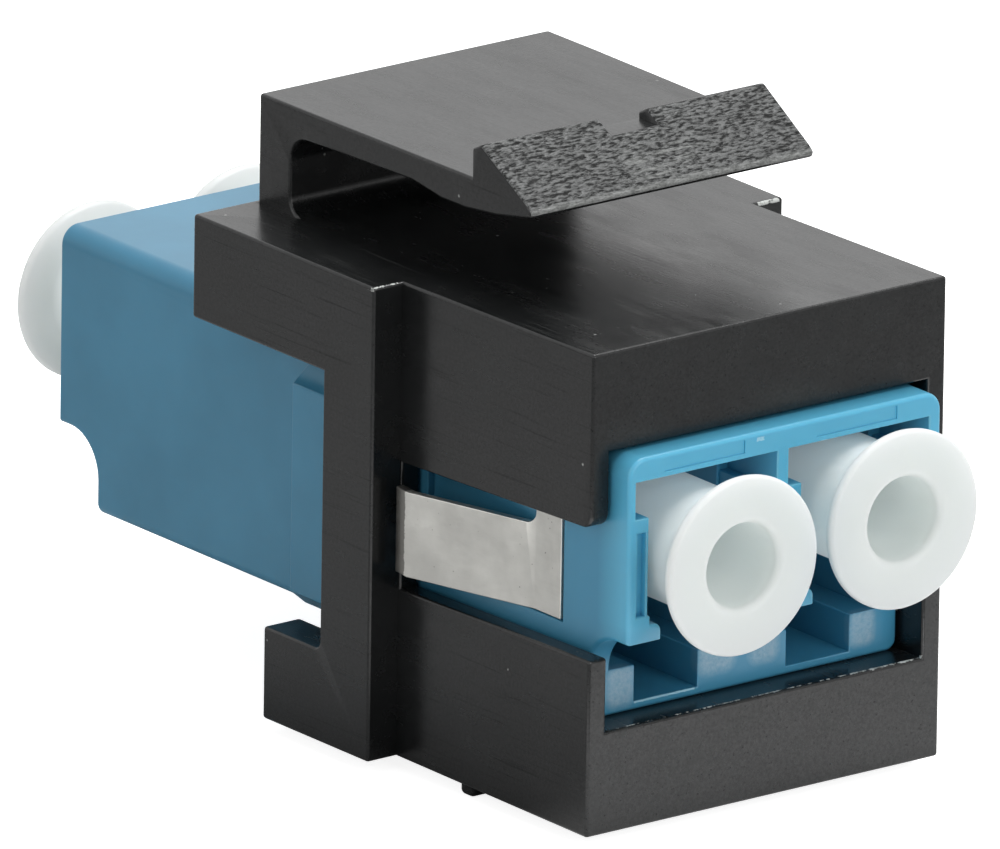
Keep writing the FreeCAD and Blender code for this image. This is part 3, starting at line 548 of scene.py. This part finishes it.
def copy_of(node, name):
    """A merged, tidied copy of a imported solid, ready for work on its edges."""
    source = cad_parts[node]
    pick_only(source)
    bpy.ops.object.duplicate()
    piece = bpy.context.object
    piece.name = name
    piece.data.name = name
    piece.parent = None
    for key in list(piece.keys()):
        del piece[key]
    piece.matrix_world = Matrix.Identity(4)
    bpy.ops.object.mode_set(mode="EDIT")
    bpy.ops.mesh.select_all(action="SELECT")
    bpy.ops.mesh.remove_doubles(threshold=0.0005 * MM)
    bpy.ops.mesh.customdata_custom_splitnormals_clear()
    bpy.ops.mesh.dissolve_limited(angle_limit=FLAT)
    bpy.ops.mesh.quads_convert_to_tris(quad_method="BEAUTY", ngon_method="BEAUTY")
    bpy.ops.object.mode_set(mode="OBJECT")
    for face in piece.data.polygons:
        face.material_index = 0
    return piece


def soften(piece, width, segments=2, material=-1, keep_crisp=()):
    """Rounds every sharp outer edge that isn't in a `keep_crisp` box; flat faces stay flat."""
    pick_only(piece)
    bpy.ops.object.mode_set(mode="EDIT")
    bpy.ops.mesh.select_mode(type="EDGE")
    bpy.ops.mesh.select_all(action="DESELECT")
    bpy.ops.mesh.edges_select_sharp(sharpness=SHARP)
    bpy.ops.object.mode_set(mode="OBJECT")
    for edge in (*inner_corners(piece.data), *edges_within(piece.data, keep_crisp)):
        edge.select = False
    bpy.ops.object.mode_set(mode="EDIT")
    bpy.ops.transform.edge_bevelweight(value=1.0)
    bpy.ops.mesh.select_all(action="SELECT")
    bpy.ops.mesh.tris_convert_to_quads(face_threshold=FLAT, shape_threshold=math.pi)
    bpy.ops.object.mode_set(mode="OBJECT")
    bevel = piece.modifiers.new("Edges", "BEVEL")
    bevel.width = width
    bevel.segments = segments
    bevel.limit_method = "WEIGHT"
    bevel.use_clamp_overlap = False
    bevel.loop_slide = False
    bevel.miter_outer = "MITER_ARC"
    bevel.material = material
    bpy.ops.object.modifier_apply(modifier=bevel.name)
    even_shading(piece, 50.0)


def inner_corners(mesh):
    """The edges where two faces meet in a hollow corner."""
    sides = {}
    for face in mesh.polygons:
        for key in face.edge_keys:
            sides.setdefault(key, []).append(face)
    for edge in mesh.edges:
        faces = sides.get(edge.key, ())
        if len(faces) == 2 and (faces[1].center - faces[0].center).dot(faces[0].normal) > 0.0:
            yield edge


def edges_within(mesh, boxes):
    """The edges whose middle lies in one of the boxes, given in millimetres."""
    for edge in mesh.edges:
        first, second = (mesh.vertices[index].co for index in edge.vertices)
        middle = (first + second) / 2 / MM
        for low, high in boxes:
            if all(a <= value <= b for a, value, b in zip(low, middle, high)):
                yield edge


def even_shading(piece, angle):
    """Smooth up to an angle in degrees, with each normal led by its largest face."""
    pick_only(piece)
    bpy.ops.object.shade_smooth_by_angle(angle=math.radians(angle))
    weighted = piece.modifiers.new("Shading", "WEIGHTED_NORMAL")
    weighted.mode = "FACE_AREA"
    weighted.weight = 100
    weighted.keep_sharp = True
    bpy.ops.object.modifier_apply(modifier=weighted.name)


def wear(piece, *materials):
    """The piece's material slots, in order."""
    piece.data.materials.clear()
    for material in materials:
        piece.data.materials.append(material)


def settle(piece, body, slot, *nodes):
    """Makes a finished piece ride on its body and stand for its nodes."""
    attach(piece, body)
    if nodes:
        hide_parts(*nodes)


# ---------------------------------------------------------------- pieces


class ADAPTER_OT_housing(bpy.types.Operator):
    """Round and finish the black housing"""

    bl_idname = "adapter.housing"
    bl_label = "Housing"

    def execute(self, context):
        look = context.scene.adapter_housing
        piece = copy_of("keystone_housing", "keystone_moulding")
        wear(
            piece,
            black_skin("black_moulding", tuple(look.black), tuple(look.worn), look.roughness),
            tab_skin("grained_tab", tuple(look.grained)),
        )
        tab_height = 2.0 * MM
        tab_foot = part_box("keystone_housing")[1].z - tab_height
        for face in piece.data.polygons:
            if face.center.z > tab_foot and face.normal.y < -0.30 and face.normal.z > -0.2:
                face.material_index = 1
        soften(piece, look.edge, segments=3)
        settle(piece, MAIN_BODY, "keystone_housing", "keystone_housing")
        return {"FINISHED"}


class ADAPTER_OT_block(bpy.types.Operator):
    """Round and finish the two blue halves"""

    bl_idname = "adapter.block"
    bl_label = "Adapter block"

    def execute(self, context):
        look = context.scene.adapter_block
        skin = blue_skin("blue_moulding", look)
        # Second slot: the painted highlight for the rounded front edges.
        edge = edge_highlight_skin("painted_highlight_blue_edge", look)
        for node, name in (
            ("adapter_front_shell", "front_half"),
            ("adapter_rear_shell", "rear_half"),
        ):
            piece = copy_of(node, name)
            wear(piece, skin, edge)
            soften(piece, look.edge, material=1, keep_crisp=SHALLOW_MARKS)
            keep_edge_highlight_at_ends(piece, *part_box(node))
            settle(piece, MAIN_BODY, node, node)
        return {"FINISHED"}


def keep_edge_highlight_at_ends(piece, low, high):
    """Keeps the painted highlight skin on the rounded edges of the end frame's upper part alone."""
    lowest, deepest, facing_down = 6.5 * MM, 0.3 * MM, -0.3
    for face in piece.data.polygons:
        depth = min(face.center.y - low.y, high.y - face.center.y)
        if face.center.z < lowest or depth > deepest or face.normal.z < facing_down:
            face.material_index = 0


class ADAPTER_OT_clip(bpy.types.Operator):
    """Finish the steel clip and the ceramic sleeves"""

    bl_idname = "adapter.clip"
    bl_label = "Clip and sleeves"

    def execute(self, context):
        look = context.scene.adapter_clip
        piece = copy_of("retaining_clip", "clip_strip")
        wear(piece, steel_skin("dull_spring_steel", tuple(look.steel), look.roughness))
        soften(piece, look.edge)
        settle(piece, MAIN_BODY, "retaining_clip", "retaining_clip")
        ceramic = ceramic_skin("white_zirconia")
        for node in ("alignment_sleeve_left", "alignment_sleeve_right"):
            wear(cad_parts[node], ceramic)
        return {"FINISHED"}


class ADAPTER_OT_plugs(bpy.types.Operator):
    """Turn the four dust plugs"""

    bl_idname = "adapter.plugs"
    bl_label = "Dust plugs"

    def execute(self, context):
        look = context.scene.adapter_plugs
        milky = milky_skin("milky_polyethylene", tuple(look.white), look.glow, look.barrel_glow)
        for node in PLUGS:
            piece = turned_plug(node, look)
            wear(piece, milky)
            settle(piece, node, "dust_plug", node)
        return {"FINISHED"}


def turned_plug(node, look):
    """One plug, drawn out ring by ring from the wall between its two bores."""
    low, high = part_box(node)
    middle = (low + high) / 2
    face_y, inwards = (low.y, 1.0) if node.startswith("dust_plug_front") else (high.y, -1.0)
    disc = (high.x - low.x) / 2
    length = high.y - low.y
    barrel, hole, socket = 2.08 * MM, 1.43 * MM, 1.8 * MM
    hole_depth, web = 5.5 * MM, 1.2 * MM
    rim, flare = 0.32 * MM, 1.07 * MM
    # Distance from the outer face, radius, and rounding of each ring
    rings = (
        (hole_depth + web, socket, 0.10 * MM),
        (length, socket, 0.05 * MM),
        (length, barrel, 0.20 * MM),
        (flare, barrel, 0.60 * MM),
        (rim, disc, look.rim),
        (0.0, disc, look.rim),
        (0.0, hole, look.mouth),
        (hole_depth, hole * 0.96, 0.30 * MM),
    )
    bpy.ops.object.select_all(action="DESELECT")
    bpy.ops.mesh.primitive_circle_add(
        vertices=look.steps, radius=socket, fill_type="NGON",
        location=(middle.x, face_y + inwards * (hole_depth + web), middle.z),
        rotation=(math.pi / 2, 0.0, 0.0),
    )
    piece = bpy.context.object
    piece.name = piece.data.name = node.replace("dust_plug", "plug")
    bpy.ops.object.transform_apply(location=True, rotation=True, scale=True)
    bpy.ops.object.mode_set(mode="EDIT")
    bpy.ops.mesh.select_all(action="SELECT")
    for (before_y, before_r, _), (y, radius, _) in zip(rings, rings[1:]):
        bpy.ops.mesh.extrude_region_move(
            TRANSFORM_OT_translate={"value": (0.0, inwards * (y - before_y), 0.0)}
        )
        if radius != before_r:
            bpy.ops.transform.resize(
                value=(radius / before_r, 1.0, radius / before_r),
                center_override=(middle.x, face_y + inwards * y, middle.z),
            )
    bpy.ops.mesh.select_all(action="SELECT")
    bpy.ops.mesh.normals_make_consistent(inside=False)
    for y, radius, rounding in rings:
        round_ring(piece, middle, face_y + inwards * y, radius, rounding)
    even_shading(piece, 45.0)
    return piece


def round_ring(piece, middle, y, radius, rounding):
    """Bevels the ring of edges at one radius and one place along the plug."""
    bpy.ops.object.mode_set(mode="OBJECT")
    mesh = piece.data
    on_ring = []
    for vertex in mesh.vertices:
        out = math.hypot(vertex.co.x - middle.x, vertex.co.z - middle.z)
        on_ring.append(abs(vertex.co.y - y) < 0.002 * MM and abs(out - radius) < 0.004 * MM)
    bpy.ops.object.mode_set(mode="EDIT")
    bpy.ops.mesh.select_mode(type="EDGE")
    bpy.ops.mesh.select_all(action="DESELECT")
    bpy.ops.object.mode_set(mode="OBJECT")
    for edge in mesh.edges:
        edge.select = on_ring[edge.vertices[0]] and on_ring[edge.vertices[1]]
    bpy.ops.object.mode_set(mode="EDIT")
    bpy.ops.mesh.bevel(offset=rounding, segments=5, affect="EDGES")
    bpy.ops.mesh.select_all(action="DESELECT")
    bpy.ops.object.mode_set(mode="OBJECT")


# Name, place (metres), width (metres), power (watts)
SOFTBOXES = (
    ("top_softbox", (0.08, 0.03, 0.34), 0.22, 1.1),
    ("left_softbox", (-0.30, 0.02, 0.13), 0.20, 0.14),
    ("front_softbox", (0.04, -0.34, 0.15), 0.22, 0.46),
    ("rear_softbox", (0.30, 0.385, 0.18), 0.30, 0.05),
)
LIT_POINT = Vector((0.0, 0.0, 0.01))


class ADAPTER_OT_stage(bpy.types.Operator):
    """Build the pale studio, its lamps and the camera"""

    bl_idname = "adapter.stage"
    bl_label = "Stage"

    def execute(self, context):
        look = context.scene.adapter_stage
        build_floor()
        build_sky(look.sky)
        for softbox in SOFTBOXES:
            lamp(*softbox)
        build_camera(look)
        context.scene.view_settings.view_transform = "Standard"
        return {"FINISHED"}


def build_floor():
    """A pale floor that shows white to the camera, keeps the part's shadow and has a
    brighter strip in front of the part for its lower face to mirror."""
    bpy.ops.object.select_all(action="DESELECT")
    bpy.ops.mesh.primitive_grid_add(x_subdivisions=4, y_subdivisions=4, size=6.0)
    floor = bpy.context.object
    floor.name = "pale_floor"
    pale, seen_glow, strip_glow, mirror_loss = 0.70, 0.86, 1.25, 0.25
    r = Recipe("pale_floor")
    r.set(Roughness=0.8, Base_Color=(pale, pale, pale, 1.0))
    path = r.node("ShaderNodeLightPath")
    mirrored = (path, "Is Glossy Ray")
    strip = r.ramp(r.near((-30.0, -29.0, 0.0), (40.0, -17.0, 0.0), 7.0), 0.0, 1.0, 0.0, strip_glow)
    to_camera = r.product((path, "Is Camera Ray"), seen_glow)
    glow = r.node("ShaderNodeEmission", Color=(1, 1, 1, 1))
    r.join(*r.maths("ADD", to_camera, r.product(strip, mirrored)), glow, "Strength")
    dark = r.node("ShaderNodeEmission", Color=(0, 0, 0, 1))
    dimmed = r.node("ShaderNodeMixShader")
    r.join(*r.product(mirrored, mirror_loss), dimmed, 0)
    r.join(r.skin, "BSDF", dimmed, 1)
    r.join(dark, "Emission", dimmed, 2)
    added = r.node("ShaderNodeAddShader")
    r.join(dimmed, "Shader", added, 0)
    r.join(glow, "Emission", added, 1)
    r.join(added, "Shader", r.end, "Surface")
    floor.data.materials.append(r.material)


def build_sky(strength):
    """A pale studio all round: white where it is seen, softer as a light."""
    world = bpy.data.worlds.new("pale_studio")
    bpy.context.scene.world = world
    world.use_nodes = True
    nodes, links = world.node_tree.nodes, world.node_tree.links
    nodes.clear()
    path = nodes.new("ShaderNodeLightPath")
    chosen = nodes.new("ShaderNodeMixShader")
    for socket, power in ((1, strength), (2, 1.0)):
        sky = nodes.new("ShaderNodeBackground")
        sky.inputs["Color"].default_value = (1, 1, 1, 1)
        sky.inputs["Strength"].default_value = power
        links.new(sky.outputs[0], chosen.inputs[socket])
    seen = path.outputs["Is Camera Ray"]
    for ray in ("Is Glossy Ray", "Is Transmission Ray"):
        either = nodes.new("ShaderNodeMath")
        either.operation = "MAXIMUM"
        links.new(seen, either.inputs[0])
        links.new(path.outputs[ray], either.inputs[1])
        seen = either.outputs[0]
    links.new(seen, chosen.inputs[0])
    links.new(chosen.outputs[0], nodes.new("ShaderNodeOutputWorld").inputs["Surface"])


def lamp(name, place, size, power):
    """A square softbox that faces the part."""
    data = bpy.data.lights.new(name, "AREA")
    data.size = size
    data.energy = power
    made = bpy.data.objects.new(name, data)
    bpy.context.scene.collection.objects.link(made)
    made.location = place
    made.rotation_euler = (Vector(place) - LIT_POINT).to_track_quat("Z", "Y").to_euler()


def build_camera(look):
    """A long lens at the stated angles, rolled a little about its own axis."""
    data = bpy.data.cameras.new("studio_camera")
    data.lens = look.lens
    data.sensor_width = 36.0
    data.clip_start = 0.01
    camera = bpy.data.objects.new("studio_camera", data)
    bpy.context.scene.collection.objects.link(camera)
    flat = math.cos(look.elevation)
    backwards = Vector((
        math.sin(look.azimuth) * flat, -math.cos(look.azimuth) * flat, math.sin(look.elevation),
    ))
    right = (-backwards).cross(Vector((0, 0, 1))).normalized()
    up = right.cross(-backwards)
    turned_right = right * math.cos(look.roll) + up * math.sin(look.roll)
    turned_up = up * math.cos(look.roll) - right * math.sin(look.roll)
    pose = Matrix((turned_right, turned_up, backwards)).transposed().to_4x4()
    pose.translation = Vector(look.aim) + backwards * look.distance
    camera.matrix_world = pose
    bpy.context.scene.camera = camera


# ---------------------------------------------------------------- panel and registration


class ADAPTER_PT_panel(bpy.types.Panel):
    """The adapter's pieces, in the order they are made"""

    bl_label = "Keystone adapter"
    bl_idname = "ADAPTER_PT_panel"
    bl_space_type = "VIEW_3D"
    bl_region_type = "UI"
    bl_category = "Adapter"

    def draw(self, context):
        for operator, group, fields in STEPS:
            box = self.layout.box()
            box.operator(operator)
            for field in fields:
                box.prop(getattr(context.scene, group), field)


STEPS = (
    ("adapter.housing", "adapter_housing", ("edge", "black", "grained", "worn", "roughness")),
    ("adapter.block", "adapter_block", ("edge", "blue", "painted_glow_blue", "pale", "roughness")),
    ("adapter.clip", "adapter_clip", ("steel", "roughness", "edge")),
    ("adapter.plugs", "adapter_plugs", ("white", "glow", "barrel_glow", "rim", "mouth", "steps")),
    ("adapter.stage", "adapter_stage", ("azimuth", "elevation", "roll", "lens", "distance", "sky")),
)
GROUPS = {
    "adapter_housing": HousingFinish,
    "adapter_block": BlockFinish,
    "adapter_clip": ClipFinish,
    "adapter_plugs": PlugFinish,
    "adapter_stage": StageLook,
}
OPERATORS = (
    ADAPTER_OT_housing,
    ADAPTER_OT_block,
    ADAPTER_OT_clip,
    ADAPTER_OT_plugs,
    ADAPTER_OT_stage,
)


def register():
    for kind in (*GROUPS.values(), *OPERATORS, ADAPTER_PT_panel):
        bpy.utils.register_class(kind)
    for name, kind in GROUPS.items():
        setattr(bpy.types.Scene, name, PointerProperty(type=kind))


def unregister():
    for name in GROUPS:
        delattr(bpy.types.Scene, name)
    for kind in reversed((*GROUPS.values(), *OPERATORS, ADAPTER_PT_panel)):
        bpy.utils.unregister_class(kind)


def main():
    register()
    for operator, _group, _fields in STEPS:
        group, name = operator.split(".")
        getattr(getattr(bpy.ops, group), name)()


if __name__ == "__main__":
    main()
